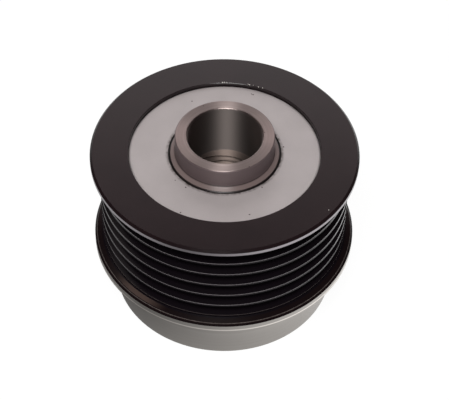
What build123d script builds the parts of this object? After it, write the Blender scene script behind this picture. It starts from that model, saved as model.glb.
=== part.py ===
from build123d import *
import os
from math import cos, pi, radians, sin, sqrt, tan

os.makedirs("parts", exist_ok=True)

# An overrunning alternator pulley, in millimetres. It stands on the rim of its nose with the
# alternator side up. The origin is the centre of that rim and +Z is the spin axis.

# Belt ring, outside
ring_wall = 4.58
flange_height = 1.95
front_rim_width = 1.3
rear_rim_width = 0.92
nose_wall = 5.0
nose_length = 13.5
groove_count = 6
groove_pitch = 3.56
groove_half_angle = 20.0
rib_land = 0.7
rib_tip_round = 0.2
groove_bottom_round = 0.5
flange_flank_slope = 0.455
flange_rim_chamfer = 0.5
flange_face_chamfer = 0.5
flange_back_round = 0.45
nose_edge_chamfer = 0.3
nose_root_round = 0.6

# Belt ring, inside
cover_recess_step = 0.8
cover_recess_edge = 0.1
cap_wall = 3.0
cap_seat_depth = 4.0
cap_groove_depth = 0.35
cap_groove_width = 1.0
cap_groove_height = 1.6

# Snap ring that holds the front bearing in
snap_ring_thickness = 1.75
snap_ring_land = 1.15
snap_ring_width = 2.7
snap_ring_offset = 0.35
snap_groove_depth = 1.25
snap_groove_play = 0.1
snap_lug_radius = 1.9
snap_lug_hole_radius = 1.2
snap_gap = 3.0

# Rear cover disc and its lip seal
cover_depth = 0.85
cover_thickness = 0.8
cover_rim_step = 0.5
cover_rim_width = 2.1
cover_edge_round = 0.6
cover_bore_gap = 0.35
lip_height = 0.35
lip_flange_width = 1.3

# Ball bearings
bearing_bore = 25.0
bearing_section = 8.5
bearing_width = 9.0
ball_diameter = 5.0
ball_count = 12
race_track_clearance = 0.1
race_shoulder_height = 1.1
race_chamfer = 0.3
seal_seat_depth = 0.6
lip_land_depth = 0.45
seal_recess = 0.15
seal_thickness = 0.9
seal_web_thickness = 0.5
seal_rim_width = 0.9
ball_cage_wall = 1.5
ball_pocket_clearance = 0.12
ball_cage_prong = 1.5

# Hub
hub_height_over_ring = 4.55
hub_shoulder_width = 1.25
hub_end_chamfer = 0.3
hub_rim_chamfer = 0.2
hub_foot_round = 0.8
hub_shoulder_rise = 0.7
hub_shoulder_slope = 0.55
hub_shoulder_edge = 0.2
pilot_bore_step = 0.5
pilot_bore_depth = 13.15
thread_diameter = 16.0
thread_lead_in = 0.3
thread_length = 16.0
thread_relief_width = 1.5
thread_relief_depth = 0.3
hub_flange_thickness = 2.7
hub_flange_lip = 1.9
serration_tip_diameter = 15.8
serration_depth = 0.7
serration_tooth_count = 33
serration_land = 0.2
serration_lead_in = 0.6

# One-way clutch
sleeve_chamfer = 0.3
cam_wall = 2.0
roller_diameter = 4.0
roller_count = 8
roller_clearance = 0.05
roller_end_play = 0.15
roller_chamfer = 0.25
ramp_angle = 5.0
ramp_room_ahead = 2.6
ramp_room_behind = 6.2
cam_to_track_gap = 1.4
cam_spigot_wall = 1.8
plate_thickness = 0.8
plate_to_bearing_gap = 0.2
plate_to_track_gap = 0.4
clutch_cage_to_track_gap = 0.3
clutch_cage_rim = 0.8
clutch_cage_window_play = 0.6
clutch_cage_lug = 0.8
spring_strip = 0.2
spring_leg_count = 5
spring_end_gap = 1.95
spring_margin = 0.3

# Clearances
press_gap = 0.01
running_gap = 0.1
side_gap = 0.15

# Heights along the spin axis, from the rim of the nose
groove_slope = tan(radians(groove_half_angle))
round_to_apex = 1 / sin(radians(groove_half_angle)) - 1
flank_height = (flange_height - flange_rim_chamfer) * flange_flank_slope
rim_bottom = nose_length + flange_back_round + front_rim_width
belt_band_bottom = rim_bottom + flange_rim_chamfer + flank_height
belt_band_top = belt_band_bottom + groove_count * groove_pitch + rib_land
rim_top = belt_band_top + flank_height + flange_rim_chamfer
ring_length = rim_top + rear_rim_width + flange_face_chamfer
hub_top = ring_length + hub_height_over_ring
front_bearing_height = cap_seat_depth + snap_ring_land + snap_groove_play + snap_ring_thickness
hub_foot_height = front_bearing_height - hub_flange_thickness
cover_top = ring_length - cover_depth
cover_bottom = cover_top - cover_thickness
rear_bearing_top = cover_bottom - cover_rim_step
rear_bearing_bottom = rear_bearing_top - bearing_width
front_bearing_top = front_bearing_height + bearing_width

# Radii that mating pieces share
hub_seat_radius = bearing_bore / 2
bearing_radius = hub_seat_radius + bearing_section
groove_bottom_radius = bearing_radius + ring_wall
groove_apex_radius = groove_bottom_radius - groove_bottom_round * round_to_apex
rib_apex_radius = groove_apex_radius + groove_pitch / 2 / groove_slope
rib_tip_radius = rib_apex_radius - rib_land / 2 / groove_slope
flange_radius = rib_tip_radius + flange_height
nose_radius = bearing_radius + nose_wall
cap_seat_radius = nose_radius - cap_wall
cover_recess_radius = bearing_radius + cover_recess_step
ball_radius = ball_diameter / 2
ball_pitch_radius = (bearing_radius + hub_seat_radius) / 2
race_track_radius = ball_radius + race_track_clearance
inner_shoulder_radius = ball_pitch_radius - ball_radius + race_shoulder_height
outer_shoulder_radius = ball_pitch_radius + ball_radius - race_shoulder_height
seal_seat_radius = outer_shoulder_radius + seal_seat_depth
lip_land_radius = inner_shoulder_radius - lip_land_depth
roller_radius = roller_diameter / 2
roller_pitch_radius = hub_seat_radius + cam_wall + roller_clearance + roller_radius
clutch_track_radius = roller_pitch_radius + roller_radius + roller_clearance
cam_radius = clutch_track_radius - cam_to_track_gap


def turn(*corners, mode=Mode.ADD):
    """Turn a half section, given as (radius, height) corners, about the spin axis."""
    with BuildSketch(Plane.XZ) as half_section:
        with BuildLine():
            Polyline(*corners, close=True)
        make_face()
    revolve(half_section.sketch, axis=Axis.Z, mode=mode)


def write(piece, name):
    """Label a finished piece and write its STEP file."""
    piece.part.label = name
    export_step(piece.part, f"parts/{name}.step")


# Belt ring: one turned piece with the grooves, two flanges and the plain nose
rib_corners = []
for groove in range(groove_count):
    land_top = belt_band_bottom + rib_land + groove * groove_pitch
    rib_corners.append((rib_tip_radius, land_top))
    rib_corners.append((groove_apex_radius, land_top + (groove_pitch - rib_land) / 2))
    rib_corners.append((rib_tip_radius, land_top + groove_pitch - rib_land))

snap_groove_radius = bearing_radius + snap_groove_depth
snap_groove_bottom = front_bearing_height - snap_ring_thickness - snap_groove_play
cap_groove_radius = cap_seat_radius + cap_groove_depth
flank_radius = flange_radius - flange_rim_chamfer

with BuildPart() as belt_ring:
    with BuildSketch(Plane.XZ) as ring_section:
        with BuildLine():
            Polyline(
                (cap_seat_radius + nose_edge_chamfer, 0),
                (nose_radius - nose_edge_chamfer, 0),
                (nose_radius, nose_edge_chamfer),
                (nose_radius, nose_length),
                (flange_radius, nose_length),
                (flange_radius, rim_bottom),
                (flank_radius, rim_bottom + flange_rim_chamfer),
                (rib_tip_radius, belt_band_bottom),
                *rib_corners,
                (rib_tip_radius, belt_band_top),
                (flank_radius, rim_top - flange_rim_chamfer),
                (flange_radius, rim_top),
                (flange_radius, ring_length - flange_face_chamfer),
                (flange_radius - flange_face_chamfer, ring_length),
                (cover_recess_radius + cover_recess_edge, ring_length),
                (cover_recess_radius, ring_length - cover_recess_edge),
                (cover_recess_radius, rear_bearing_top),
                (bearing_radius, rear_bearing_top),
                (bearing_radius, front_bearing_height),
                (snap_groove_radius, front_bearing_height),
                (snap_groove_radius, snap_groove_bottom),
                (bearing_radius, snap_groove_bottom),
                (bearing_radius, cap_seat_depth),
                (cap_seat_radius, cap_seat_depth),
                (cap_seat_radius, cap_groove_height + cap_groove_width),
                (cap_groove_radius, cap_groove_height + cap_groove_width),
                (cap_groove_radius, cap_groove_height),
                (cap_seat_radius, cap_groove_height),
                (cap_seat_radius, nose_edge_chamfer),
                close=True,
            )
        make_face()
        corners = ring_section.vertices()
        fillet(corners.filter_by(lambda v: abs(v.X - groove_apex_radius) < 0.01), groove_bottom_round)
        rib_edges = corners.filter_by(lambda v: abs(v.X - rib_tip_radius) < 0.01).sort_by(Axis.Y)
        fillet(rib_edges[1:-1], rib_tip_round)
        nose_root = corners.sort_by_distance((nose_radius, nose_length))[0]
        fillet(nose_root, nose_root_round)
        flange_back = corners.sort_by_distance((flange_radius, nose_length))[0]
        fillet(flange_back, flange_back_round)
    revolve(axis=Axis.Z)
write(belt_ring, "belt_ring")

# Rear cover: a stepped steel disc pressed into the recess over the rear bearing
cover_radius = cover_recess_radius - press_gap
cover_bore_radius = hub_seat_radius + cover_bore_gap
cover_rim_radius = cover_recess_radius - cover_rim_width

with BuildPart() as rear_cover_disc:
    turn(
        (cover_bore_radius, cover_bottom),
        (cover_rim_radius, cover_bottom),
        (cover_rim_radius, rear_bearing_top),
        (cover_radius, rear_bearing_top),
        (cover_radius, cover_top),
        (cover_bore_radius, cover_top),
    )
    rims = rear_cover_disc.edges().filter_by(GeomType.CIRCLE)
    outer_rim = rims.sort_by_distance((cover_radius, 0, cover_top))[0]
    fillet(outer_rim, cover_edge_round)
write(rear_cover_disc, "rear_cover_disc")

# Lip seal: a rubber ring bonded to the bore of the cover, with its lip towards the hub
lip_radius = hub_seat_radius + running_gap
lip_root_radius = cover_bore_radius - press_gap
lip_foot = rear_bearing_top + side_gap
lip_middle = cover_top - side_gap

with BuildPart() as rear_lip_seal:
    turn(
        (lip_root_radius + lip_flange_width, lip_foot),
        (lip_root_radius + lip_flange_width, cover_bottom),
        (lip_root_radius, cover_bottom),
        (lip_root_radius, lip_middle),
        (lip_radius + lip_height / 2, lip_middle),
        (lip_radius, lip_middle - lip_height / 2),
        (lip_radius, lip_middle - lip_height),
        (lip_root_radius - lip_height / 2, lip_foot),
    )
write(rear_lip_seal, "rear_lip_seal")

# Hub: the sleeve that screws on the alternator shaft, with a serration for the fitting tool
spigot_radius = hub_seat_radius - hub_shoulder_width
shoulder_height = cover_top + hub_shoulder_rise
thread_radius = thread_diameter / 2
pilot_radius = thread_radius + pilot_bore_step
pilot_bottom = hub_top - pilot_bore_depth
thread_top = pilot_bottom - thread_lead_in
thread_bottom = thread_top - thread_length
serration_top = thread_bottom - thread_relief_width
serration_tip_radius = serration_tip_diameter / 2
relief_radius = max(thread_radius, serration_tip_radius + serration_depth) + thread_relief_depth
serration_space = 2 * pi * serration_tip_radius / serration_tooth_count - serration_land
hub_flange_radius = hub_seat_radius + hub_flange_lip

with BuildPart() as hub:
    turn(
        (pilot_radius + hub_end_chamfer, hub_top),
        (spigot_radius - hub_rim_chamfer, hub_top),
        (spigot_radius, hub_top - hub_rim_chamfer),
        (spigot_radius, shoulder_height),
        (hub_seat_radius - hub_shoulder_edge, shoulder_height - hub_shoulder_slope),
        (hub_seat_radius, shoulder_height - hub_shoulder_slope - hub_shoulder_edge),
        (hub_seat_radius, front_bearing_height),
        (hub_flange_radius, front_bearing_height),
        (hub_flange_radius, hub_foot_height + hub_end_chamfer),
        (hub_flange_radius - hub_end_chamfer, hub_foot_height),
        (serration_tip_radius + serration_lead_in, hub_foot_height),
        (serration_tip_radius, hub_foot_height + serration_lead_in),
        (serration_tip_radius, serration_top),
        (relief_radius, serration_top),
        (relief_radius, thread_bottom),
        (thread_radius, thread_bottom),
        (thread_radius, thread_top),
        (pilot_radius, pilot_bottom),
        (pilot_radius, hub_top - hub_end_chamfer),
    )
    rims = hub.edges().filter_by(GeomType.CIRCLE)
    spigot_foot = rims.sort_by_distance((spigot_radius, 0, shoulder_height))[0]
    fillet(spigot_foot, hub_foot_round)
    with BuildSketch(Plane.XY.offset(hub_foot_height)):
        with PolarLocations(serration_tip_radius, serration_tooth_count):
            Polygon(
                (serration_depth, 0),
                (0, serration_space / 2),
                (-serration_depth, serration_space / 2),
                (-serration_depth, -serration_space / 2),
                (0, -serration_space / 2),
                align=None,
            )
    extrude(amount=serration_top - hub_foot_height, mode=Mode.SUBTRACT)
write(hub, "hub")


def ball_bearing(side, bottom, outward):
    """Make one sealed deep-groove ball bearing; outward is +1 where its open side faces up."""
    top = bottom + bearing_width
    middle = bottom + bearing_width / 2
    seat_depth = seal_recess + seal_thickness
    outer_radius = bearing_radius - press_gap
    bore_radius = hub_seat_radius + press_gap

    with BuildPart(Plane.XY.offset(middle)) as outer_race:
        turn(
            (seal_seat_radius, bottom),
            (outer_radius - race_chamfer, bottom),
            (outer_radius, bottom + race_chamfer),
            (outer_radius, top - race_chamfer),
            (outer_radius - race_chamfer, top),
            (seal_seat_radius, top),
            (seal_seat_radius, top - seat_depth),
            (outer_shoulder_radius, top - seat_depth),
            (outer_shoulder_radius, bottom + seat_depth),
            (seal_seat_radius, bottom + seat_depth),
        )
        Torus(ball_pitch_radius, race_track_radius, mode=Mode.SUBTRACT)
    write(outer_race, f"{side}_outer_race")

    with BuildPart(Plane.XY.offset(middle)) as inner_race:
        turn(
            (bore_radius + race_chamfer, bottom),
            (lip_land_radius, bottom),
            (lip_land_radius, bottom + seat_depth),
            (inner_shoulder_radius, bottom + seat_depth),
            (inner_shoulder_radius, top - seat_depth),
            (lip_land_radius, top - seat_depth),
            (lip_land_radius, top),
            (bore_radius + race_chamfer, top),
            (bore_radius, top - race_chamfer),
            (bore_radius, bottom + race_chamfer),
        )
        Torus(ball_pitch_radius, race_track_radius, mode=Mode.SUBTRACT)
    write(inner_race, f"{side}_inner_race")

    with BuildPart(Plane.XY.offset(middle)) as balls:
        with PolarLocations(ball_pitch_radius, ball_count):
            Sphere(ball_radius)
    write(balls, f"{side}_balls")

    # The crown cage: a ring outside the balls, with prongs that reach in between them
    cage_back = middle + outward * (bearing_width / 2 - seat_depth - side_gap)
    cage_front = middle - outward * ball_cage_prong
    with BuildPart(Plane.XY.offset(middle)) as ball_cage:
        turn(
            (ball_pitch_radius - ball_cage_wall / 2, cage_back),
            (ball_pitch_radius + ball_cage_wall / 2, cage_back),
            (ball_pitch_radius + ball_cage_wall / 2, cage_front),
            (ball_pitch_radius - ball_cage_wall / 2, cage_front),
        )
        with PolarLocations(ball_pitch_radius, ball_count):
            Sphere(ball_radius + ball_pocket_clearance, mode=Mode.SUBTRACT)
    write(ball_cage, f"{side}_ball_cage")

    # A rubber seal at each face, held in the outer race and clear of the inner one
    for name, face, inward in (("outboard", top, -1), ("inboard", bottom, 1)):
        if outward < 0:
            face, inward = bottom + top - face, -inward
        rim_outside = face + inward * seal_recess
        rim_inside = face + inward * seat_depth
        web_outside = rim_outside + inward * (seal_thickness - seal_web_thickness) / 2
        web_inside = web_outside + inward * seal_web_thickness
        with BuildPart() as seal:
            turn(
                (seal_seat_radius - press_gap, rim_outside),
                (seal_seat_radius - press_gap, rim_inside),
                (seal_seat_radius - seal_rim_width, rim_inside),
                (seal_seat_radius - seal_rim_width, web_inside),
                (lip_land_radius + seal_rim_width, web_inside),
                (lip_land_radius + running_gap, rim_inside),
                (lip_land_radius + running_gap, rim_outside),
                (lip_land_radius + seal_rim_width, web_outside),
                (seal_seat_radius - seal_rim_width, web_outside),
                (seal_seat_radius - seal_rim_width, rim_outside),
            )
        write(seal, f"{side}_{name}_seal")


ball_bearing("rear", rear_bearing_bottom, 1)
ball_bearing("front", front_bearing_height, -1)

# Clutch sleeve: the hard track that the rollers wedge against, pressed into the belt ring
with BuildPart() as clutch_sleeve:
    turn(
        (clutch_track_radius + sleeve_chamfer, front_bearing_top),
        (bearing_radius - press_gap - sleeve_chamfer, front_bearing_top),
        (bearing_radius - press_gap, front_bearing_top + sleeve_chamfer),
        (bearing_radius - press_gap, rear_bearing_bottom - sleeve_chamfer),
        (bearing_radius - press_gap - sleeve_chamfer, rear_bearing_bottom),
        (clutch_track_radius + sleeve_chamfer, rear_bearing_bottom),
        (clutch_track_radius, rear_bearing_bottom - sleeve_chamfer),
        (clutch_track_radius, front_bearing_top + sleeve_chamfer),
    )
write(clutch_sleeve, "clutch_sleeve")

# Cam ring: pressed on the hub between the inner races, with a ramp under each roller.
# Each pocket is drawn for a roller on the +X side. The ramp rises towards +Y.
cam_bottom = front_bearing_top + plate_to_bearing_gap + plate_thickness
cam_top = rear_bearing_bottom - plate_to_bearing_gap - plate_thickness
cam_length = cam_top - cam_bottom
cam_spigot_radius = hub_seat_radius + cam_spigot_wall
ramp = radians(ramp_angle)


def ramp_radius(across):
    """Give the height of the ramp over the spin axis, at a distance across the pocket."""
    foot = roller_pitch_radius - (roller_radius + roller_clearance) / cos(ramp)
    return foot + across * tan(ramp)


with BuildPart() as clutch_cam_ring:
    turn(
        (hub_seat_radius + press_gap, front_bearing_top),
        (cam_spigot_radius, front_bearing_top),
        (cam_spigot_radius, cam_bottom),
        (cam_radius, cam_bottom),
        (cam_radius, cam_top),
        (cam_spigot_radius, cam_top),
        (cam_spigot_radius, rear_bearing_bottom),
        (hub_seat_radius + press_gap, rear_bearing_bottom),
    )
    with BuildSketch(Plane.XY.offset(cam_bottom)):
        with PolarLocations(0, roller_count):
            Polygon(
                (ramp_radius(ramp_room_ahead), ramp_room_ahead),
                (cam_radius + 1, ramp_room_ahead),
                (cam_radius + 1, -ramp_room_behind),
                (ramp_radius(-ramp_room_behind), -ramp_room_behind),
                align=None,
            )
    extrude(amount=cam_length, mode=Mode.SUBTRACT)
write(clutch_cam_ring, "clutch_cam_ring")

# Rollers: each one stands in a window of the cage
window_bottom = cam_bottom + side_gap + clutch_cage_rim
window_length = cam_length - 2 * (side_gap + clutch_cage_rim)

with BuildPart(Plane.XY.offset((cam_bottom + cam_top) / 2)) as clutch_rollers:
    with PolarLocations(roller_pitch_radius, roller_count):
        Cylinder(roller_radius, window_length - 2 * roller_end_play)
    chamfer(clutch_rollers.edges().filter_by(GeomType.CIRCLE), roller_chamfer)
write(clutch_rollers, "clutch_rollers")

# Clutch cage: a plastic ring with a window for each roller and a lug behind each spring
clutch_cage_inner = cam_radius + running_gap
clutch_cage_outer = clutch_track_radius - clutch_cage_to_track_gap
lug_back = -ramp_room_behind + running_gap
lug_front = lug_back + clutch_cage_lug
window_width = roller_diameter + clutch_cage_window_play

with BuildPart() as clutch_cage:
    with BuildSketch(Plane.XY.offset(cam_bottom + side_gap)):
        Circle(clutch_cage_outer)
        Circle(clutch_cage_inner, mode=Mode.SUBTRACT)
        with PolarLocations(0, roller_count):
            Polygon(
                (ramp_radius(lug_back) + running_gap, lug_back),
                (ramp_radius(lug_front) + running_gap, lug_front),
                (clutch_cage_inner, lug_front),
                (clutch_cage_inner, lug_back),
                align=None,
            )
    extrude(amount=cam_length - 2 * side_gap)
    with BuildSketch(Plane.XY.offset(window_bottom)):
        with PolarLocations(clutch_cage_inner, roller_count):
            Rectangle(2 * cam_to_track_gap, window_width)
    extrude(amount=window_length, mode=Mode.SUBTRACT)
write(clutch_cage, "clutch_cage")

# Springs: a strip folded to and fro between each roller and its lug
spring_front = -roller_radius - roller_clearance - spring_strip / 2
spring_back = lug_front + roller_clearance + spring_strip / 2
spring_low = ramp_radius(0) + spring_margin
spring_reach = clutch_cage_inner - running_gap
spring_high = sqrt(spring_reach**2 - (spring_back - spring_strip) ** 2) - spring_strip / 2
fold_step = (spring_front - spring_back) / (spring_leg_count - 1)
fold_corners = []
for leg in range(spring_leg_count):
    across = spring_front - leg * fold_step
    leg_ends = [(spring_low, across), (spring_high, across)]
    fold_corners += leg_ends if leg % 2 == 0 else leg_ends[::-1]

with BuildSketch() as spring_section:
    with BuildLine() as strip:
        FilletPolyline(*fold_corners, radius=0.45 * fold_step)
    trace(strip.line, line_width=spring_strip)

with BuildPart() as clutch_springs:
    with BuildSketch(Plane.XY.offset(cam_bottom + spring_end_gap)):
        with PolarLocations(0, roller_count):
            add(spring_section.sketch)
    extrude(amount=cam_length - 2 * spring_end_gap)
write(clutch_springs, "clutch_springs")

# Side plates: a washer at each end of the cam ring, which keeps the rollers in
plate_radius = clutch_track_radius - plate_to_track_gap
for side, plate_bottom in (("front", cam_bottom - plate_thickness), ("rear", cam_top)):
    with BuildPart() as clutch_plate:
        turn(
            (cam_spigot_radius + press_gap, plate_bottom),
            (plate_radius, plate_bottom),
            (plate_radius, plate_bottom + plate_thickness),
            (cam_spigot_radius + press_gap, plate_bottom + plate_thickness),
        )
    write(clutch_plate, f"clutch_{side}_plate")

# Snap ring: an internal ring with two eyes, sprung into the groove under the front bearing
snap_ring_radius = snap_groove_radius - snap_groove_play
snap_lug_spread = snap_gap / 2 + snap_lug_radius
snap_lug_place = bearing_radius - running_gap - snap_lug_radius
snap_lug_reach = sqrt(snap_lug_place**2 - snap_lug_spread**2)

with BuildPart() as front_snap_ring:
    with BuildSketch(Plane.XY.offset(front_bearing_height - snap_ring_thickness)):
        Circle(snap_ring_radius)
        with Locations((snap_ring_offset, 0)):
            Circle(snap_ring_radius - snap_ring_width, mode=Mode.SUBTRACT)
        with Locations((snap_lug_reach, snap_lug_spread), (snap_lug_reach, -snap_lug_spread)):
            Circle(snap_lug_radius)
        with Locations((snap_ring_radius, 0)):
            Rectangle(4 * snap_ring_width, snap_gap, mode=Mode.SUBTRACT)
        with Locations((snap_lug_reach, snap_lug_spread), (snap_lug_reach, -snap_lug_spread)):
            Circle(snap_lug_hole_radius, mode=Mode.SUBTRACT)
    extrude(amount=snap_ring_thickness)
write(front_snap_ring, "front_snap_ring")
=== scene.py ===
# %% [markdown]
# # An alternator pulley on a white table
#
# This lesson dresses a machine part: a six-groove pulley with a one-way clutch and two ball
# bearings inside.  Its solids come from a CAD program and are exact to a hundredth of a
# millimetre, so nothing here moves or reshapes them.  What is left to do is what a lathe, a
# paint line and a few years on a shelf do to steel: turning marks, a black coat, bare rims, a
# fine thread and a little dust.
#
# The first cell loads the imported part.  `nodes` then holds one Blender object for each
# solid, in metres, standing on the plane z = 0 with the spin axis on Z.

# %% Load the imported part
import math

import bpy
from mathutils import Matrix, Vector


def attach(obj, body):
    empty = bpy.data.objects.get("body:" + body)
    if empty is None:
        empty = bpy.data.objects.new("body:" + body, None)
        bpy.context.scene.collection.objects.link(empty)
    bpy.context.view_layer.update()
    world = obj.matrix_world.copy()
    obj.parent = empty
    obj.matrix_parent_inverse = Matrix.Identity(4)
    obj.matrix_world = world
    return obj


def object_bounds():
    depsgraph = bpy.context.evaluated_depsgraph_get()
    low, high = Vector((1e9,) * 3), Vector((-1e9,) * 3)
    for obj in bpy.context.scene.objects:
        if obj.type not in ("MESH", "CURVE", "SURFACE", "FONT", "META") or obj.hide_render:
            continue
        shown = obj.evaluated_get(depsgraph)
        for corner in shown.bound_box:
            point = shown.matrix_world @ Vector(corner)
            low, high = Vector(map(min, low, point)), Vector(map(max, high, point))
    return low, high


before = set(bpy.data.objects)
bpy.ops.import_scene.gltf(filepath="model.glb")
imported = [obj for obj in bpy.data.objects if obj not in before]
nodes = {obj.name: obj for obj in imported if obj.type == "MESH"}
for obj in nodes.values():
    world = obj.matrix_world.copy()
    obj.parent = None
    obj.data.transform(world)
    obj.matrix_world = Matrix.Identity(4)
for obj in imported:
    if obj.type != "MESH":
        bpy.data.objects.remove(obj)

cad_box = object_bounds()
mm = 0.001

size = cad_box[1] - cad_box[0]
print(f"{len(nodes)} solids, {size.x / mm:.1f} x {size.y / mm:.1f} x {size.z / mm:.1f} mm")

# %% [markdown]
# ## The camera
#
# The picture was taken with a long lens from a little under half a metre away.  Lines that run
# round the pulley show as ellipses, and how flat each one is gives the height of the camera.
# The easy way to place a camera is a Track To constraint on the middle of the part, but the
# real one looks a little below the rim and leans by less than a degree.  Writing the rotation
# as three plain turns, first aside, then down and then the lean, says that directly.

# %% Put the camera where the photographer stood
rim_centre = Vector((0, 0, 40.66 * mm))
camera_height = math.radians(45.916)
camera_distance = 370.06 * mm
look_down = math.radians(47.639)
look_aside = math.radians(-0.018)
lean = math.radians(0.671)

camera_data = bpy.data.cameras.new("table_camera")
camera = bpy.data.objects.new("table_camera", camera_data)
bpy.context.scene.collection.objects.link(camera)
bpy.context.scene.camera = camera

towards_camera = Vector((0, -math.cos(camera_height), math.sin(camera_height)))
camera.location = rim_centre + towards_camera * camera_distance
aim = (Matrix.Rotation(look_aside, 3, "Z") @ Matrix.Rotation(math.pi / 2 - look_down, 3, "X")
       @ Matrix.Rotation(lean, 3, "Z"))
camera.rotation_euler = aim.to_euler()
camera_data.sensor_width = 36.0
camera_data.lens = 131.19
camera_data.clip_start = 0.01
print(f"camera {camera_distance:.3f} m away, lens {camera_data.lens:.0f} mm")

# %% [markdown]
# ## Small helpers for node trees
#
# Node trees built in a script get long, so a few helpers keep them readable.  `add_node` makes
# a node and sets what it is told, `math_node` is the one that is needed most, and `group` opens
# a new node group with named inputs and outputs.  The pulley is round, so a place on it is best
# told by its distance from the axis and its height, which `radius_and_height` gives.  Colours
# are written as they look on the screen, from 0 to 255, and `colour` turns them into the linear
# values that Blender mixes.

# %% Helpers: nodes, sums, groups and colours
def add_node(tree, kind, inputs=None, **settings):
    node = tree.nodes.new(kind)
    for name, value in settings.items():
        setattr(node, name, value)
    for key, value in (inputs or {}).items():
        if isinstance(value, bpy.types.NodeSocket):
            tree.links.new(value, node.inputs[key])
        else:
            node.inputs[key].default_value = value
    return node


def math_node(tree, operation, first, second=0.0, clamp=False):
    node = add_node(tree, "ShaderNodeMath", {0: first, 1: second}, operation=operation)
    node.use_clamp = clamp
    return node.outputs[0]


def group(name, kind, inputs, outputs):
    tree = bpy.data.node_groups.new(name, kind)
    for label, socket, value in inputs:
        made = tree.interface.new_socket(label, in_out="INPUT", socket_type=socket)
        if value is not None:
            made.default_value = value
    for label, socket in outputs:
        tree.interface.new_socket(label, in_out="OUTPUT", socket_type=socket)
    return tree, tree.nodes.new("NodeGroupInput"), tree.nodes.new("NodeGroupOutput")


def radius_and_height(tree):
    place = add_node(tree, "ShaderNodeTexCoord")
    parts = add_node(tree, "ShaderNodeSeparateXYZ", {0: place.outputs["Object"]})
    flat = add_node(tree, "ShaderNodeCombineXYZ", {0: parts.outputs["X"], 1: parts.outputs["Y"]})
    radius = add_node(tree, "ShaderNodeVectorMath", {0: flat.outputs[0]}, operation="LENGTH")
    return radius.outputs["Value"], parts.outputs["Z"]


def colour(red, green, blue):
    def linear(value):
        share = value / 255
        return share / 12.92 if share <= 0.04045 else ((share + 0.055) / 1.055) ** 2.4
    return (linear(red), linear(green), linear(blue), 1.0)


print("mid grey is", round(colour(128, 128, 128)[0], 3), "in linear light")

# %% [markdown]
# ## Floor and room
#
# The part stands on white paper under a soft lamp.  The paper is so bright in the picture
# that it has no edge and next to no shadow.  A lamp strong enough for that would burn out the
# metal too, so the paper helps itself: seen by the camera or in a reflection it glows a
# little, and only the rest of its brightness comes from the lamps, which keeps a trace of the
# shadow.  The bare nose mirrors the paper in front of it, dark at the left and bright at the
# right, and the rims mirror paper further out, so the glow in reflections follows that.  Seen
# from below the sheet is clear, so that the pulley can be looked at from its nose end too, and
# it lies a fiftieth of a millimetre under the nose, because two faces in one plane flicker.

# %% The paper floor
half_side = 1.6
below_nose = -0.02 * mm
paper_white = (0.82, 0.82, 0.82, 1)
glow_seen = 1.05
glow_mirrored = 1.8
glow_share = 0.9

floor_mesh = bpy.data.meshes.new("paper_floor")
corners = [(x * half_side, y * half_side, below_nose)
           for x, y in ((-1, -1), (1, -1), (1, 1), (-1, 1))]
floor_mesh.from_pydata(corners, [], [(0, 1, 2, 3)])
floor = bpy.data.objects.new("paper_floor", floor_mesh)
bpy.context.scene.collection.objects.link(floor)

paper = bpy.data.materials.new("white_paper")
paper.use_nodes = True
tree = paper.node_tree
tree.nodes.clear()
seen = add_node(tree, "ShaderNodeLightPath")
looked_at = math_node(tree, "MAXIMUM", seen.outputs["Is Camera Ray"],
                      seen.outputs["Is Glossy Ray"])
looked_at = math_node(tree, "MAXIMUM", looked_at, seen.outputs["Is Transmission Ray"])
sheet = add_node(tree, "ShaderNodeBsdfDiffuse", {"Color": paper_white})
place = add_node(tree, "ShaderNodeTexCoord")
across = add_node(tree, "ShaderNodeSeparateXYZ", {0: place.outputs["Object"]})
lit_from_right = add_node(tree, "ShaderNodeMapRange",
                          {"Value": across.outputs["X"], "From Min": -38 * mm,
                           "From Max": 45 * mm, "To Min": 0.0, "To Max": glow_mirrored})
further_left = add_node(tree, "ShaderNodeMapRange",
                        {"Value": across.outputs["X"], "From Min": -32 * mm,
                         "From Max": -50 * mm, "To Min": 0.0, "To Max": 1.0})
mirrored = math_node(tree, "MAXIMUM", lit_from_right.outputs[0], further_left.outputs[0])
level = add_node(tree, "ShaderNodeMix",
                 {0: seen.outputs["Is Camera Ray"], 2: mirrored, 3: glow_seen})
glow = add_node(tree, "ShaderNodeEmission", {"Color": (1, 1, 1, 1), "Strength": level.outputs[0]})
share = math_node(tree, "MULTIPLY", looked_at, glow_share)
both = add_node(tree, "ShaderNodeMixShader", {0: share, 1: sheet.outputs[0], 2: glow.outputs[0]})
side = add_node(tree, "ShaderNodeNewGeometry")
from_below = math_node(tree, "MULTIPLY", side.outputs["Backfacing"],
                       seen.outputs["Is Camera Ray"])
clear = add_node(tree, "ShaderNodeBsdfTransparent")
sheet_or_clear = add_node(tree, "ShaderNodeMixShader",
                          {0: from_below, 1: both.outputs[0], 2: clear.outputs[0]})
add_node(tree, "ShaderNodeOutputMaterial", {"Surface": sheet_or_clear.outputs[0]})
floor_mesh.materials.append(paper)
print("floor", 2 * half_side, "m wide")

# %% [markdown]
# The room is drawn by the world shader.  The camera sees white.  Reflections see a white sweep
# of paper that rises behind the part and ends about 45 degrees up, with a dim room above it and
# to the front.  Its upper edge is what makes the flat black face paler at the back than at the
# front, and it is a little warm where it fades.  The light that falls on the part from the
# room is kept low and even, so the colours render about as written.

# %% The room round the table
sweep_in_mirrors = 1.75
room_in_mirrors = 0.05
room_on_part = 0.22
edge_starts, edge_ends = 0.62, 0.775
warm = (1.0, 0.60, 0.62, 1)

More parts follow.
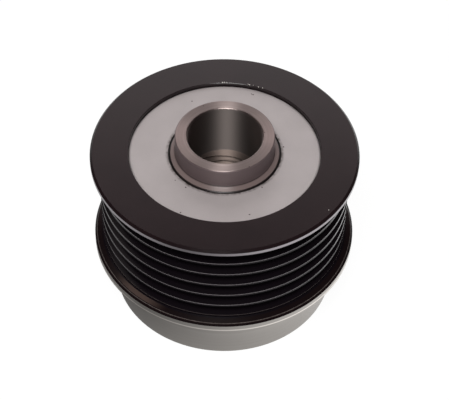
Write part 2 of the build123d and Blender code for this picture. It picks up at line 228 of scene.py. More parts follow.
world = bpy.data.worlds.new("studio_room")
world.use_nodes = True
bpy.context.scene.world = world
tree = world.node_tree
tree.nodes.clear()
direction = add_node(tree, "ShaderNodeTexCoord")
upward = add_node(tree, "ShaderNodeSeparateXYZ", {0: direction.outputs["Generated"]})
under_edge = add_node(tree, "ShaderNodeMapRange",
                      {"Value": upward.outputs["Z"], "From Min": edge_starts,
                       "From Max": edge_ends, "To Min": 1.0, "To Max": 0.0},
                      interpolation_type="SMOOTHSTEP")
sideways = add_node(tree, "ShaderNodeCombineXYZ", {0: upward.outputs["X"],
                                                   1: upward.outputs["Y"]})
sideways = add_node(tree, "ShaderNodeVectorMath", {0: sideways.outputs[0]},
                    operation="NORMALIZE")
behind = add_node(tree, "ShaderNodeSeparateXYZ", {0: sideways.outputs[0]})
behind = add_node(tree, "ShaderNodeMapRange",
                  {"Value": behind.outputs["Y"], "From Min": 0.66, "From Max": 0.90},
                  interpolation_type="SMOOTHSTEP")
sweep = math_node(tree, "MULTIPLY", under_edge.outputs[0], behind.outputs[0])
in_mirror = math_node(tree, "ADD", math_node(tree, "MULTIPLY", sweep, sweep_in_mirrors),
                      room_in_mirrors)
seen = add_node(tree, "ShaderNodeLightPath")
mirrored = math_node(tree, "MAXIMUM", seen.outputs["Is Glossy Ray"],
                     seen.outputs["Is Transmission Ray"])
off_camera = add_node(tree, "ShaderNodeMix", {0: mirrored, 2: room_on_part, 3: in_mirror})
strength = add_node(tree, "ShaderNodeMix",
                    {0: seen.outputs["Is Camera Ray"], 2: off_camera.outputs[0], 3: 1.0})
not_mirrored = math_node(tree, "SUBTRACT", 1.0, mirrored)
neutral = math_node(tree, "MINIMUM", behind.outputs[0], under_edge.outputs[0])
neutral = math_node(tree, "MAXIMUM", neutral, not_mirrored)
tint = add_node(tree, "ShaderNodeMix", {0: neutral, 6: warm, 7: (1, 1, 1, 1)},
                data_type="RGBA")
white = add_node(tree, "ShaderNodeBackground",
                 {"Color": tint.outputs[2], "Strength": strength.outputs[0]})
add_node(tree, "ShaderNodeOutputWorld", {"Surface": white.outputs[0]})
print("room made, sweep strength", sweep_in_mirrors)

# %% [markdown]
# One large square lamp hangs over the table, in front of the part, and a weak, slightly warm
# one stands behind it at the left, for the glint on the lower flange.  Large lamps give the
# soft edges of a studio tent, while a small one would draw a hard spot on every turned surface.
# Both are hidden from the camera, so that no other view runs into them.

# %% The lamps
def soft_lamp(name, place, aim, side, power, tint):
    data = bpy.data.lights.new(name, "AREA")
    data.shape = "SQUARE"
    data.size = side
    data.energy = power
    data.color = tint
    lamp = bpy.data.objects.new(name, data)
    bpy.context.scene.collection.objects.link(lamp)
    lamp.location = place
    lamp.rotation_euler = (Vector(aim) - Vector(place)).to_track_quat("-Z", "Y").to_euler()
    lamp.visible_camera = False
    return lamp


over_table = soft_lamp("over_table", place=(-0.05, -0.47, 0.82), aim=(0, 0, 0.03),
                       side=0.38, power=7.4, tint=(1.0, 0.985, 0.975))
from_behind = soft_lamp("from_behind", place=(-0.56, 0.28, 0.80), aim=(0, 0, 0.02),
                        side=0.30, power=0.45, tint=(1.0, 0.93, 0.88))
bpy.context.scene.view_settings.view_transform = "Standard"
print("lamps:", over_table.name, from_behind.name)

# %% [markdown]
# ## Effects that several finishes share
#
# Every face of this part was made on a lathe.  A cutting tool leaves fine lines that run round
# the axis: rings on a flat face, hoops on a wall.  Both are the same pattern once a point is
# described by its distance from the axis and its height, so one group serves all of them.
# Two layers of noise are used, one for the fine lines and one for broader bands, and a slow
# wobble round the axis keeps the lines from looking printed.

# %% Node group: turning marks
turning, start, end = group(
    "turning_marks", "ShaderNodeTree",
    [("Line pitch", "NodeSocketFloat", 0.18 * mm), ("Band pitch", "NodeSocketFloat", 0.9 * mm)],
    [("Lines", "NodeSocketFloat"), ("Bands", "NodeSocketFloat")])
place = add_node(turning, "ShaderNodeTexCoord")
radius, height = radius_and_height(turning)
wobble = add_node(turning, "ShaderNodeTexNoise", {"Vector": place.outputs["Object"],
                                                  "Scale": 60.0, "Detail": 1.0})
drift = math_node(turning, "MULTIPLY", wobble.outputs[0], 0.12 * mm)
out = math_node(turning, "ADD", radius, drift)
up = math_node(turning, "ADD", height, drift)
for label, source in (("Lines", "Line pitch"), ("Bands", "Band pitch")):
    across = math_node(turning, "DIVIDE", out, start.outputs[source])
    along = math_node(turning, "DIVIDE", up, start.outputs[source])
    point = add_node(turning, "ShaderNodeCombineXYZ", {0: across, 1: along})
    noise = add_node(turning, "ShaderNodeTexNoise",
                     {"Vector": point.outputs[0], "Scale": 1.0, "Detail": 2.0})
    turning.links.new(noise.outputs[0], end.inputs[label])
print("turning_marks:", [socket.name for socket in end.inputs if socket.name])

# %% [markdown]
# Paint, plating and rubber have no lines, but they are never quite even.  The next group mixes
# a grain of a few hundredths of a millimetre with slow clouds of a few millimetres.  The grain
# goes into the bump and the clouds into colour and roughness.

# %% Node group: grain and clouds
uneven, start, end = group(
    "grain_and_clouds", "ShaderNodeTree",
    [("Grain size", "NodeSocketFloat", 0.25 * mm), ("Cloud size", "NodeSocketFloat", 6 * mm)],
    [("Grain", "NodeSocketFloat"), ("Clouds", "NodeSocketFloat")])
place = add_node(uneven, "ShaderNodeTexCoord")
for label, source, detail in (("Grain", "Grain size", 3.0), ("Clouds", "Cloud size", 2.0)):
    scale = math_node(uneven, "DIVIDE", 1.0, start.outputs[source])
    noise = add_node(uneven, "ShaderNodeTexNoise", {"Vector": place.outputs["Object"],
                                                    "Scale": scale, "Detail": detail})
    uneven.links.new(noise.outputs[0], end.inputs[label])
print("grain_and_clouds made")

# %% [markdown]
# This ring mask puts painted highlights on edges, painted shade in corners and gaps, and some
# grease.  On a round part every edge is a circle, so a radius and a height are enough to say
# where one is.  The mask is strongest on that circle and fades over a width, and noise chips
# it, so that it comes and goes.

# %% Node group: a ring along an edge, for painted highlights, painted shade and grease
ring, start, end = group(
    "worn_ring", "ShaderNodeTree",
    [("Radius", "NodeSocketFloat", 30 * mm), ("Height", "NodeSocketFloat", 40 * mm),
     ("Width", "NodeSocketFloat", 0.3 * mm), ("Chipped", "NodeSocketFloat", 0.5)],
    [("Mask", "NodeSocketFloat")])
place = add_node(ring, "ShaderNodeTexCoord")
radius, height = radius_and_height(ring)
off_radius = math_node(ring, "SUBTRACT", radius, start.outputs["Radius"])
off_height = math_node(ring, "SUBTRACT", height, start.outputs["Height"])
apart = add_node(ring, "ShaderNodeCombineXYZ", {0: off_radius, 1: off_height})
apart = add_node(ring, "ShaderNodeVectorMath", {0: apart.outputs[0]}, operation="LENGTH")
near = math_node(ring, "DIVIDE", apart.outputs["Value"], start.outputs["Width"])
near = math_node(ring, "SUBTRACT", 1.0, near, clamp=True)
chips = add_node(ring, "ShaderNodeTexNoise", {"Vector": place.outputs["Object"],
                                              "Scale": 900.0, "Detail": 3.0})
chips = add_node(ring, "ShaderNodeMapRange", {"Value": chips.outputs[0], "From Min": 0.42,
                                              "From Max": 0.62})
kept = add_node(ring, "ShaderNodeMix", {0: start.outputs["Chipped"], 2: 1.0,
                                        3: chips.outputs[0]})
ring.links.new(math_node(ring, "MULTIPLY", near, kept.outputs[0]), end.inputs["Mask"])
print("worn_ring made")

# %% [markdown]
# ## Finishes
#
# `finish` makes a material with one Principled shader and gives back its tree, and `use` drops
# a node group into it.  Numbers that are the same all over go straight on the shader's own
# sockets, and only what varies over the surface comes through nodes.  `above`, `below` and
# `overlap` cut a surface into zones: the first two give 1 on one side of a limit and 0 on the
# other, and the last keeps only what all its masks share.

# %% Helpers: start a finish, use a group, bump, tint, zones
def finish(name, roughness, metallic=0.0, specular=0.5):
    material = bpy.data.materials.new(name)
    material.use_nodes = True
    tree = material.node_tree
    tree.nodes.clear()
    shader = add_node(tree, "ShaderNodeBsdfPrincipled",
                      {"Roughness": roughness, "Metallic": metallic,
                       "Specular IOR Level": specular})
    add_node(tree, "ShaderNodeOutputMaterial", {"Surface": shader.outputs[0]})
    return material, tree, shader


def use(tree, which, **values):
    node = add_node(tree, "ShaderNodeGroup")
    node.node_tree = which
    for name, value in values.items():
        node.inputs[name.replace("_", " ")].default_value = value
    return node.outputs


def bump(tree, shader, height, depth, strength=1.0):
    node = add_node(tree, "ShaderNodeBump", {"Height": height, "Distance": depth,
                                             "Strength": strength})
    tree.links.new(node.outputs[0], shader.inputs["Normal"])


def spread(tree, value, low, high):
    node = add_node(tree, "ShaderNodeMapRange", {"Value": value, "From Min": 0.3,
                                                 "From Max": 0.7, "To Min": low,
                                                 "To Max": high})
    return node.outputs[0]


def blend_colours(tree, mask, dark, light):
    node = add_node(tree, "ShaderNodeMix", {0: mask, 6: dark, 7: light}, data_type="RGBA")
    return node.outputs[2]


def above(tree, value, limit):
    return math_node(tree, "GREATER_THAN", value, limit)


def below(tree, value, limit):
    return math_node(tree, "LESS_THAN", value, limit)


def overlap(tree, mask, *others):
    for other in others:
        mask = math_node(tree, "MULTIPLY", mask, other)
    return mask


def shader_of(material):
    return next(node for node in material.node_tree.nodes if node.type == "BSDF_PRINCIPLED")


print("helpers ready")

# %% [markdown]
# ### Bare turned steel
#
# The hub, the cam ring and the two plates of the clutch are turned steel with nothing on them.
# Bare steel is a metal to the shader, its colour is its reflection, and the turning marks
# spread that reflection.  The hub is a little warm, as steel that has been hardened and oiled.

# %% Turned steel
def turned_steel(name, dark, light, roughness, line_pitch=0.18 * mm, depth=0.004 * mm):
    material, tree, shader = finish(name, roughness, metallic=1.0)
    marks = use(tree, turning, Line_pitch=line_pitch, Band_pitch=0.8 * mm)
    clouds = use(tree, uneven, Grain_size=0.2 * mm, Cloud_size=5 * mm)
    shade = math_node(tree, "ADD", marks["Bands"], marks["Lines"])
    shade = math_node(tree, "ADD", shade, clouds["Clouds"])
    shade = math_node(tree, "DIVIDE", shade, 3.0)
    mask = spread(tree, shade, 0.0, 1.0)
    tree.links.new(blend_colours(tree, mask, dark, light), shader.inputs["Base Color"])
    rough = spread(tree, marks["Bands"], roughness - 0.05, roughness + 0.05)
    tree.links.new(rough, shader.inputs["Roughness"])
    bump(tree, shader, marks["Lines"], depth)
    round_axis = add_node(tree, "ShaderNodeTangent", direction_type="RADIAL", axis="Z")
    tree.links.new(round_axis.outputs[0], shader.inputs["Tangent"])
    shader.inputs["Anisotropic"].default_value = 0.88
    shader.inputs["Anisotropic Rotation"].default_value = 0.25
    return material


hub_steel = turned_steel("hub_steel", colour(135, 123, 120), colour(164, 151, 148), 0.42)
plain_steel = turned_steel("plain_steel", colour(150, 147, 144), colour(178, 175, 172), 0.38)
print(hub_steel.name, plain_steel.name)

# %% [markdown]
# ### Zones on the hub
#
# The hub is one solid, but it was not finished alike all over.  Its end face is clean.  The
# neck and the shoulder under it are dull and darker.  The corner between them and the edge of
# the shoulder next to the cover disc are painted near black, as painted shade in the crease and
# the gap.  The pilot bore is a neutral grey, darkened as painted shade inside the bore, and the
# thread under it has kept its warm tone.  Zones like these could be painted on a UV map, but on
# a turned piece a radius and a height say where each one is, and the borders then fall exactly
# on the edges of the solid.

# %% The hub's zones
bore_reach = 8.65 * mm
pilot_foot = 32.40 * mm
neck_from = 11.10 * mm
shoulder_top = 41.00 * mm
gap_from = 12.30 * mm
bore_roughness = 0.66

tree = hub_steel.node_tree
shader = shader_of(hub_steel)
face_colour = shader.inputs["Base Color"].links[0].from_socket
face_roughness = shader.inputs["Roughness"].links[0].from_socket
radius, height = radius_and_height(tree)
in_bore = below(tree, radius, bore_reach)
pilot = overlap(tree, in_bore, above(tree, height, pilot_foot))
neck = above(tree, radius, neck_from)
shoulder = overlap(tree, neck, below(tree, height, shoulder_top))
painted_gap_shade = overlap(tree, neck, above(tree, radius, gap_from))
corner = use(tree, ring, Radius=11.27 * mm, Height=shoulder_top, Width=0.26 * mm, Chipped=0.1)
tone = face_colour
# The near-black tints in the corner and at the gap are painted shade, and the pilot's grey is
# darker than the steel as painted shade inside the bore.
for zone, tint in ((neck, colour(105, 91, 92)), (shoulder, colour(112, 98, 96)),
                   (corner["Mask"], colour(14, 10, 11)), (painted_gap_shade, colour(36, 30, 30)),
                   (in_bore, colour(136, 123, 116)), (pilot, colour(116, 109, 106))):
    tone = blend_colours(tree, zone, tone, tint)
tree.links.new(tone, shader.inputs["Base Color"])
dull = math_node(tree, "ADD", math_node(tree, "MULTIPLY", neck, 0.7),
                 math_node(tree, "MULTIPLY", shoulder, 0.22))
tree.links.new(math_node(tree, "SUBTRACT", 1.0, dull), shader.inputs["Metallic"])
rough = add_node(tree, "ShaderNodeMix", {0: in_bore, 2: face_roughness, 3: bore_roughness})
tree.links.new(rough.outputs[0], shader.inputs["Roughness"])
print("hub zones: face, neck, shoulder, greasy gap, thread, pilot bore")

# %% [markdown]
# ### The belt ring: black coat, bare rims and nose
#
# The ring is one solid with two finishes.  Its grooves, flanges and back face carry a satin
# black coat, while the rims of both flanges and the whole nose are bare.  Splitting the mesh
# would do it, but the border is at a known height, so a mask from the Object coordinates is
# simpler and stays sharp at any distance.

# %% Black coat over turned steel
coat_edge = 15.24 * mm
rim_radius = 30.46 * mm
rim_foot, rim_top = 39.70 * mm, 40.43 * mm
recess_wall = 21.3 * mm
mid_ring = 38 * mm

coated, tree, shader = finish("black_coat_bare_nose", 0.42, specular=0.06)
marks = use(tree, turning, Line_pitch=0.2 * mm, Band_pitch=1.0 * mm)
clouds = use(tree, uneven, Grain_size=0.16 * mm, Cloud_size=7 * mm)
radius, height = radius_and_height(tree)
nose = below(tree, height, coat_edge)
rim = overlap(tree, above(tree, radius, rim_radius), above(tree, height, rim_foot),
              below(tree, height, rim_top))
inside = below(tree, radius, recess_wall)
bare = math_node(tree, "MAXIMUM", math_node(tree, "MAXIMUM", nose, rim), inside)

steel = blend_colours(tree, spread(tree, marks["Bands"], 0.0, 1.0),
                      colour(148, 144, 140), colour(159, 155, 151))
# A pale ring on the rounded back edge of the lower flange is a painted highlight.
painted_edge_highlight = use(tree, ring, Radius=30.45 * mm, Height=13.92 * mm, Width=0.30 * mm, Chipped=0.0)
steel = blend_colours(tree, painted_edge_highlight["Mask"], steel, colour(226, 220, 214))
steel = blend_colours(tree, above(tree, height, mid_ring), steel, colour(137, 132, 136))
print(f"coat edge at {coat_edge / mm:.2f} mm, bare rims outside {rim_radius / mm:.2f} mm")

# %% [markdown]
# The coat itself isn't even.  It is glossy on the flat back face, where the paint lies thick,
# and thin and dull down in the grooves.  Below the back face its colour is darker, and darker
# still in the grooves, as painted shade.  A narrow painted highlight runs along each rib, at the
# same place on every one, so a remainder of the height over the rib pitch finds all of them
# with one mask.  The lower flange has a painted highlight along its chamfer edge and, at one
# side, a soft brownish painted reflection.

# %% The coat: face, grooves and the painted highlights on the ribs
rib_middle = 34.56 * mm
rib_pitch = 3.56 * mm
rib_highlight_offset = 0.19 * mm
rib_highlight_half_width = 0.10 * mm
face_from = 39.6 * mm
band_radius, land_radius = 28.9 * mm, 28.35 * mm
lowest_land = 18 * mm
flank_top = 16.38 * mm
flank_from, flank_to = 28.75 * mm, 29.75 * mm
painted_reflection_centre = (-19.5 * mm, -21.7 * mm, 16.1 * mm)

black = blend_colours(tree, spread(tree, clouds["Clouds"], 0.0, 1.0),
                      colour(24, 16, 18), colour(29, 20, 22))
from_rib = math_node(tree, "SUBTRACT", height, rib_middle - rib_pitch / 2)
from_rib = math_node(tree, "FLOORED_MODULO", from_rib, rib_pitch)
from_rib = math_node(tree, "SUBTRACT", from_rib, rib_pitch / 2)
under_face = below(tree, height, face_from)
grooves = overlap(tree, under_face, below(tree, radius, band_radius))
on_land = overlap(tree, grooves, above(tree, radius, land_radius))
# A narrow painted highlight on the land of each rib, dimmer on the lowest rib.
painted_rib_highlight = add_node(tree, "ShaderNodeMath",
                    {0: from_rib, 1: rib_highlight_offset, 2: rib_highlight_half_width}, operation="COMPARE")
painted_rib_highlight = overlap(tree, painted_rib_highlight.outputs[0], on_land)
lowest_rib_highlight = overlap(tree, painted_rib_highlight, below(tree, height, lowest_land))
# A chipped pale line on the lower flange's chamfer edge is a painted highlight.
flank_edge_highlight = use(tree, ring, Radius=30.0 * mm, Height=15.75 * mm, Width=0.14 * mm, Chipped=0.35)
flank = overlap(tree, below(tree, height, flank_top), above(tree, radius, flank_from),
                below(tree, radius, flank_to))
# A soft brownish patch on the lower flange at one side is a painted reflection.
place = add_node(tree, "ShaderNodeTexCoord")
from_painted_reflection = add_node(tree, "ShaderNodeVectorMath",
                    {0: place.outputs["Object"], 1: painted_reflection_centre}, operation="DISTANCE")
painted_reflection = add_node(tree, "ShaderNodeMapRange",
                  {"Value": from_painted_reflection.outputs["Value"], "From Min": 1.5 * mm,
                   "From Max": 8.5 * mm, "To Min": 1.0, "To Max": 0.0},
                  interpolation_type="SMOOTHSTEP")
painted_reflection = overlap(tree, painted_reflection.outputs[0], flank)
# Below the back face the coat is darker, and darker still in the grooves: painted shade.
for zone, tint in ((under_face, colour(20, 13, 14)), (grooves, colour(15, 11, 15)),
                   (painted_rib_highlight, colour(101, 96, 99)), (lowest_rib_highlight, colour(66, 60, 60)),
                   (painted_reflection, colour(68, 56, 52)), (flank_edge_highlight["Mask"], colour(98, 90, 87))):
    black = blend_colours(tree, zone, black, tint)
both = add_node(tree, "ShaderNodeMix", {0: bare, 6: black, 7: steel}, data_type="RGBA")
tree.links.new(both.outputs[2], shader.inputs["Base Color"])
tree.links.new(bare, shader.inputs["Metallic"])
print(f"polished line {rib_highlight_offset / mm:.2f} mm above the middle of each rib")

# %% [markdown]
# The gloss goes through Coat Weight, because a clear coat can fade out over the surface while
# the shader's own gloss stays one number.  It is strong on the back face, weaker at that face's
# outer edge, and below it only a band on the upper part of each rib has a little.  Bare metal
# has none.

# %% The coat's gloss
face_gloss, gloss_lost_at_edge, land_gloss = 0.70, 0.52, 0.16
edge_from, chamfer_foot = 29.95 * mm, 40 * mm

edge = overlap(tree, above(tree, radius, edge_from), above(tree, height, chamfer_foot))
clear = math_node(tree, "SUBTRACT", face_gloss,
                  math_node(tree, "MULTIPLY", edge, gloss_lost_at_edge))
clear = overlap(tree, clear, above(tree, height, face_from))
dim_band = overlap(tree, on_land, above(tree, from_rib, 0.05 * mm))
clear = math_node(tree, "ADD", clear, math_node(tree, "MULTIPLY", dim_band, land_gloss))
painted = math_node(tree, "SUBTRACT", 1.0, bare)
tree.links.new(overlap(tree, clear, painted), shader.inputs["Coat Weight"])
shader.inputs["Coat Roughness"].default_value = 0.22
rough = add_node(tree, "ShaderNodeMix", {0: bare, 2: spread(tree, clouds["Grain"], 0.20, 0.24),
                                         3: spread(tree, marks["Bands"], 0.42, 0.45)})
tree.links.new(rough.outputs[0], shader.inputs["Roughness"])
relief = math_node(tree, "ADD", marks["Lines"], math_node(tree, "MULTIPLY",
                                                          clouds["Grain"], 0.3))
bump(tree, shader, relief, 0.001 * mm)
print("coat weight", face_gloss, "on the face,", land_gloss, "on the ribs")

# %% [markdown]
# ### Plated cover disc, rubber, nylon, ground steel and springs
#
# The cover disc is pressed sheet with a matt plate: nearly even, with a fine grain and a few
# soft clouds.  A dark ring round the hub is partly old grease and partly painted shade at the
# gap.  Rubber and nylon aren't metals, so their colour is their own and their gloss is weak.
# The ground races, the clutch's sleeve and the balls are the brightest pieces, and the springs
# are dark from hardening.

# %% The other finishes
def even_finish(name, dark, light, roughness, metallic, grain_size, depth, specular=0.5):
    material, tree, shader = finish(name, roughness, metallic=metallic, specular=specular)
    clouds = use(tree, uneven, Grain_size=grain_size, Cloud_size=6 * mm)
    shade = math_node(tree, "ADD", math_node(tree, "MULTIPLY", clouds["Clouds"], 0.6),
                      math_node(tree, "MULTIPLY", clouds["Grain"], 0.4))
    tree.links.new(blend_colours(tree, spread(tree, shade, 0.0, 1.0), dark, light),
                   shader.inputs["Base Color"])
    tree.links.new(spread(tree, clouds["Grain"], roughness - 0.04, roughness + 0.04),
                   shader.inputs["Roughness"])
    bump(tree, shader, clouds["Grain"], depth)
    return material


zinc = even_finish("matt_zinc_plate", colour(171, 164, 164), colour(181, 174, 174),
                   0.50, 0.3, 0.22 * mm, 0.004 * mm)
tree = zinc.node_tree
shader = shader_of(zinc)
plate = shader.inputs["Base Color"].links[0].from_socket
# A dark ring round the hub: partly grease, partly painted shade at the gap.
grease_and_gap_shade = use(tree, ring, Radius=12.8 * mm, Height=40.2 * mm, Width=0.75 * mm, Chipped=0.6)
tree.links.new(blend_colours(tree, grease_and_gap_shade["Mask"], plate, colour(62, 52, 49)),
               shader.inputs["Base Color"])
rubber = even_finish("seal_rubber", colour(30, 28, 28), colour(44, 42, 41), 0.62, 0.0,
                     0.18 * mm, 0.012 * mm, specular=0.35)
nylon = even_finish("cage_nylon", colour(168, 154, 122), colour(190, 176, 144), 0.48, 0.0,
                    0.30 * mm, 0.008 * mm)
ball_steel = even_finish("ball_steel", colour(196, 196, 198), colour(210, 210, 212), 0.12,
                         1.0, 0.10 * mm, 0.0004 * mm)
spring_steel = even_finish("spring_steel", colour(92, 92, 96), colour(122, 122, 126), 0.36,
                           1.0, 0.20 * mm, 0.003 * mm)
ground_steel = turned_steel("ground_steel", colour(182, 182, 184), colour(204, 204, 206),
                            0.22, line_pitch=0.08 * mm, depth=0.0012 * mm)
dust = even_finish("pale_dust", colour(196, 190, 184), colour(232, 228, 222), 0.85, 0.0,
                   0.08 * mm, 0.004 * mm, specular=0.2)
grit = even_finish("dark_grit", colour(34, 27, 25), colour(60, 50, 46), 0.80, 0.0,
                   0.08 * mm, 0.004 * mm, specular=0.2)
print("more finishes:", *(made.name for made in (zinc, rubber, nylon, ball_steel,
                                                 spring_steel, ground_steel, dust, grit)))

# %% [markdown]
# ## Dress the solids
#
# Every solid of the CAD part is one Blender object and takes one finish.  A finish goes into
# the object's own material slots, which leaves its mesh as it came.  The two bearings are made
# of the same kinds of piece, so one loop serves both.

# %% Give each solid its finish
finish_of = {
    "belt_ring": coated,
    "rear_cover_disc": zinc,
    "rear_lip_seal": rubber,
    "hub": hub_steel,
    "clutch_sleeve": ground_steel,
    "clutch_cam_ring": plain_steel,
    "clutch_rollers": ball_steel,
    "clutch_springs": spring_steel,
    "clutch_cage": nylon,
    "clutch_front_plate": plain_steel,
    "clutch_rear_plate": plain_steel,
    "front_snap_ring": spring_steel,
}
for side in ("rear", "front"):
    finish_of[side + "_outer_race"] = ground_steel
    finish_of[side + "_inner_race"] = ground_steel
    finish_of[side + "_balls"] = ball_steel
    finish_of[side + "_ball_cage"] = nylon
    finish_of[side + "_outboard_seal"] = rubber
    finish_of[side + "_inboard_seal"] = rubber
for name, solid in nodes.items():
    solid.data.materials.clear()
    solid.data.materials.append(finish_of[name])
print("solids without a finish:", sorted(set(nodes) - set(finish_of)))

# %% [markdown]
# ## The thread in the hub
#
# The alternator's shaft screws into the hub by a right-hand thread of 16 mm, with 1.5 mm from
# one turn to the next.  The CAD part has a plain bore of the thread's outer size, because a
# thread is slow to cut there and cheap to draw here.  A Screw modifier on a profile would do,
# but its ends stop dead.  In Geometry Nodes the ridge is a trapezoid carried along a spiral,
# and its ends can run out and be trimmed by the lead-in cone, as a tap leaves them.

# %% Node tree: a threaded ridge
foot_per_pitch, crest_per_pitch = 0.875, 0.25
inward_shift = -0.465
cone_mouth, cone_slope = 8.5 * mm, 0.6

thread_tree, start, end = group(
    "thread_ridge", "GeometryNodeTree",
    [("Geometry", "NodeSocketGeometry", None), ("Bore radius", "NodeSocketFloat", 8.0 * mm),
     ("Ridge height", "NodeSocketFloat", 0.81 * mm), ("Pitch", "NodeSocketFloat", 1.5 * mm),
     ("Turns", "NodeSocketFloat", 10.4), ("First turn at", "NodeSocketFloat", 16.4 * mm),
     ("Start angle", "NodeSocketFloat", 0.0), ("Cone top", "NodeSocketFloat", 32.45 * mm),
     ("Foot", "NodeSocketFloat", 16.15 * mm), ("Steel", "NodeSocketMaterial", None)],
    [("Geometry", "NodeSocketGeometry")])
rise = math_node(thread_tree, "MULTIPLY", start.outputs["Pitch"], start.outputs["Turns"])
spiral = add_node(thread_tree, "GeometryNodeCurveSpiral",
                  {"Resolution": 96, "Rotations": start.outputs["Turns"],
                   "Start Radius": start.outputs["Bore radius"],
                   "End Radius": start.outputs["Bore radius"], "Height": rise,
                   "Reverse": True})
along = add_node(thread_tree, "GeometryNodeSplineParameter")
run_in = add_node(thread_tree, "ShaderNodeMapRange", {"Value": along.outputs["Factor"],
                                                      "From Max": 0.03})
run_out = add_node(thread_tree, "ShaderNodeMapRange",
                   {"Value": along.outputs["Factor"], "From Min": 0.985, "From Max": 1.0,
                    "To Min": 1.0, "To Max": 0.0})
taper = math_node(thread_tree, "MULTIPLY", run_in.outputs[0], run_out.outputs[0])
upright = add_node(thread_tree, "GeometryNodeSetCurveNormal", {"Curve": spiral.outputs[0]},
                   mode="Z_UP")
width = math_node(thread_tree, "MULTIPLY", start.outputs["Pitch"], foot_per_pitch)
crest = math_node(thread_tree, "MULTIPLY", start.outputs["Pitch"], crest_per_pitch)
profile = add_node(thread_tree, "GeometryNodeCurvePrimitiveQuadrilateral",
                   {"Height": start.outputs["Ridge height"], "Bottom Width": width,
                    "Top Width": crest, "Offset": 0.0}, mode="TRAPEZOID")
half_height = math_node(thread_tree, "MULTIPLY", start.outputs["Ridge height"], inward_shift)
inner_side = add_node(thread_tree, "ShaderNodeCombineXYZ", {0: half_height})
turned = add_node(thread_tree, "GeometryNodeTransform",
                  {"Geometry": profile.outputs[0], "Translation": inner_side.outputs[0],
                   "Rotation": (0, 0, math.pi / 2)})
swept = add_node(thread_tree, "GeometryNodeCurveToMesh",
                 {"Curve": upright.outputs[0], "Profile Curve": turned.outputs[0],
                  "Scale": taper, "Fill Caps": True})
spun = add_node(thread_tree, "GeometryNodeTransform", {"Geometry": swept.outputs[0]})
turn_by = add_node(thread_tree, "ShaderNodeCombineXYZ", {2: start.outputs["Start angle"]})
lift_by = add_node(thread_tree, "ShaderNodeCombineXYZ", {2: start.outputs["First turn at"]})
thread_tree.links.new(turn_by.outputs[0], spun.inputs["Rotation"])
thread_tree.links.new(lift_by.outputs[0], spun.inputs["Translation"])
here = add_node(thread_tree, "GeometryNodeInputPosition")
spot = add_node(thread_tree, "ShaderNodeSeparateXYZ", {0: here.outputs[0]})
flat = add_node(thread_tree, "ShaderNodeCombineXYZ",
                {0: spot.outputs["X"], 1: spot.outputs["Y"]})
out = add_node(thread_tree, "ShaderNodeVectorMath", {0: flat.outputs[0]}, operation="LENGTH")
inward = math_node(thread_tree, "SUBTRACT", cone_mouth, out.outputs["Value"])
cone = math_node(thread_tree, "SUBTRACT", start.outputs["Cone top"],
                 math_node(thread_tree, "MULTIPLY", inward, cone_slope))
cut = math_node(thread_tree, "MINIMUM", spot.outputs["Z"], cone)
cut = math_node(thread_tree, "MAXIMUM", cut, start.outputs["Foot"])
kept = add_node(thread_tree, "ShaderNodeCombineXYZ",
                {0: spot.outputs["X"], 1: spot.outputs["Y"], 2: cut})
trimmed = add_node(thread_tree, "GeometryNodeSetPosition",
                   {"Geometry": spun.outputs[0], "Position": kept.outputs[0]})
real = add_node(thread_tree, "GeometryNodeRealizeInstances", {"Geometry": trimmed.outputs[0]})
steel = add_node(thread_tree, "GeometryNodeSetMaterial",
                 {"Geometry": real.outputs[0], "Material": start.outputs["Steel"]})
thread_tree.links.new(steel.outputs[0], end.inputs["Geometry"])
print("thread tree has", len(thread_tree.nodes), "nodes")

# %% [markdown]
# A node tree only shows its result while its modifier lives.  The finished part needs plain
# meshes, so the next helper sets the tree's inputs, evaluates it once, copies the result into a
# new mesh and throws the modifier away.  A modifier knows its inputs by an identifier and not
# by the name on the socket, so the names are looked up first.

# %% Helper: run a node tree once and keep its mesh
def grow(name, tree, places=(), **values):
    seed_mesh = bpy.data.meshes.new(name + "_seed")
    seed_mesh.from_pydata(places, [], [])
    seed = bpy.data.objects.new(name + "_seed", seed_mesh)
    bpy.context.scene.collection.objects.link(seed)
    modifier = seed.modifiers.new("tree", "NODES")
    modifier.node_group = tree
    sockets = {item.name.replace(" ", "_"): item.identifier
               for item in tree.interface.items_tree
               if item.item_type == "SOCKET" and item.in_out == "INPUT"}
    for label, value in values.items():
        modifier[sockets[label]] = value
    evaluated = seed.evaluated_get(bpy.context.evaluated_depsgraph_get())
    mesh = bpy.data.meshes.new_from_object(evaluated)
    seed.modifiers.remove(modifier)
    bpy.data.objects.remove(seed)
    mesh.name = name
    piece = bpy.data.objects.new(name, mesh)
    bpy.context.scene.collection.objects.link(piece)
    print(name, len(mesh.polygons), "faces")
    return piece


# %% [markdown]
# The ridge starts a few degrees past the front of the part, so that its upper end runs out
# where the camera looks into the bore.  Its faces stay flat-shaded: a tap leaves crisp edges.

# %% Cut the thread
thread = grow("hub_thread", thread_tree, Steel=hub_steel, Start_angle=math.radians(6))
for polygon in thread.data.polygons:
    polygon.use_smooth = False
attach(thread, "hub")
corners = [vertex.co for vertex in thread.data.vertices]
radii = [math.hypot(co.x, co.y) / mm for co in corners]
heights = [co.z / mm for co in corners]
print(f"thread from {min(heights):.2f} to {max(heights):.2f} mm, "
      f"radius {min(radii):.2f} to {max(radii):.2f} mm")

# %% [markdown]
# ## Specks of dust and grit
#
# Even a new part that has lain about picks up specks: pale dust along the edge of the recess
# at the back, and a few dark grains on the cover disc and the hub's face.  A noise mask could
# draw them, but specks smaller than a pixel of noise turn to fog, and real ones stand up and
# catch light.  So each is a tiny lump, put down by a node tree on a list of places, and turned
# and drawn out by chance from a fixed seed.

# %% Node tree: specks on a list of places
flatness = 0.55

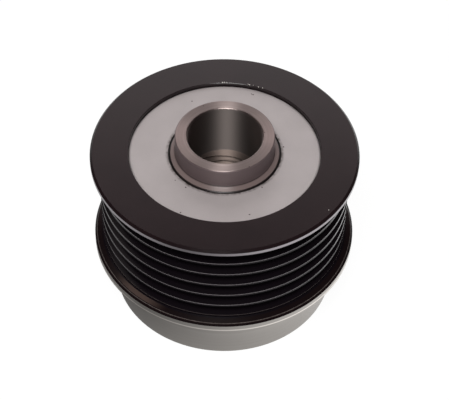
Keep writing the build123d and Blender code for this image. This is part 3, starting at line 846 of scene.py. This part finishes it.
specks_tree, start, end = group(
    "specks", "GeometryNodeTree",
    [("Geometry", "NodeSocketGeometry", None), ("Speck size", "NodeSocketFloat", 0.12 * mm),
     ("Smallest", "NodeSocketFloat", 0.6), ("Largest", "NodeSocketFloat", 1.5),
     ("Seed", "NodeSocketInt", 7), ("Dirt", "NodeSocketMaterial", None)],
    [("Geometry", "NodeSocketGeometry")])
lump = add_node(specks_tree, "GeometryNodeMeshIcoSphere",
                {"Radius": start.outputs["Speck size"], "Subdivisions": 2})
across = add_node(specks_tree, "FunctionNodeRandomValue",
                  {2: start.outputs["Smallest"], 3: start.outputs["Largest"],
                   "Seed": start.outputs["Seed"]}, data_type="FLOAT")
shape = add_node(specks_tree, "ShaderNodeCombineXYZ",
                 {0: across.outputs[1], 1: 1.0, 2: flatness})
heading = add_node(specks_tree, "FunctionNodeRandomValue",
                   {2: 0.0, 3: math.pi, "Seed": start.outputs["Seed"]}, data_type="FLOAT")
heading = add_node(specks_tree, "ShaderNodeCombineXYZ", {2: heading.outputs[1]})
laid = add_node(specks_tree, "GeometryNodeInstanceOnPoints",
                {"Points": start.outputs["Geometry"], "Instance": lump.outputs[0],
                 "Rotation": heading.outputs[0], "Scale": shape.outputs[0]})
real = add_node(specks_tree, "GeometryNodeRealizeInstances", {"Geometry": laid.outputs[0]})
dirty = add_node(specks_tree, "GeometryNodeSetMaterial",
                 {"Geometry": real.outputs[0], "Material": start.outputs["Dirt"]})
specks_tree.links.new(dirty.outputs[0], end.inputs["Geometry"])
print("specks tree has", len(specks_tree.nodes), "nodes")

# %% [markdown]
# The places are given as a radius and an angle, in millimetres and degrees, as one would point
# at them on a dial.  Each speck's middle lies 0.01 mm above the face, so a little under half of
# it is sunk and none floats.

# %% Lay the specks
def on_circle(height, spots):
    return [(radius * mm * math.cos(math.radians(angle)),
             radius * mm * math.sin(math.radians(angle)), height) for radius, angle in spots]


edge_spots = [(22.0, 91.8), (22.05, 90.6), (21.98, 89.2), (22.1, 76.1), (22.0, 75.2),
              (22.02, 72.8), (21.95, 69.4), (22.0, 66.7), (29.16, -38.2)]
disc_spots = [(18.14, 115.3), (20.0, 72.2), (20.79, -117.2), (19.65, -73.5), (19.9, 71.0),
              (13.9, -128.0), (13.6, -52.0), (14.1, -141.0), (13.5, 8.0)]
face_spots = [(9.0, 7.0), (11.0, -60.3), (10.7, 118.0)]
above_ring, above_disc, above_hub = 41.06 * mm, 40.21 * mm, 45.61 * mm

dust_on_edge = grow("dust_on_recess_edge", specks_tree, on_circle(above_ring, edge_spots),
                    Dirt=dust, Speck_size=0.12 * mm, Seed=7)
grit_on_disc = grow("grit_on_cover_disc", specks_tree, on_circle(above_disc, disc_spots),
                    Dirt=grit, Speck_size=0.14 * mm, Seed=11)
grit_on_hub = grow("grit_on_hub_face", specks_tree, on_circle(above_hub, face_spots),
                   Dirt=grit, Speck_size=0.10 * mm, Seed=5)
for specks, body, slot in ((dust_on_edge, "belt_ring", "black_coated_steel"),
                           (grit_on_disc, "belt_ring", "zinc_plated_steel"),
                           (grit_on_hub, "hub", "turned_steel")):
    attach(specks, body)
print(len(edge_spots) + len(disc_spots) + len(face_spots), "specks")
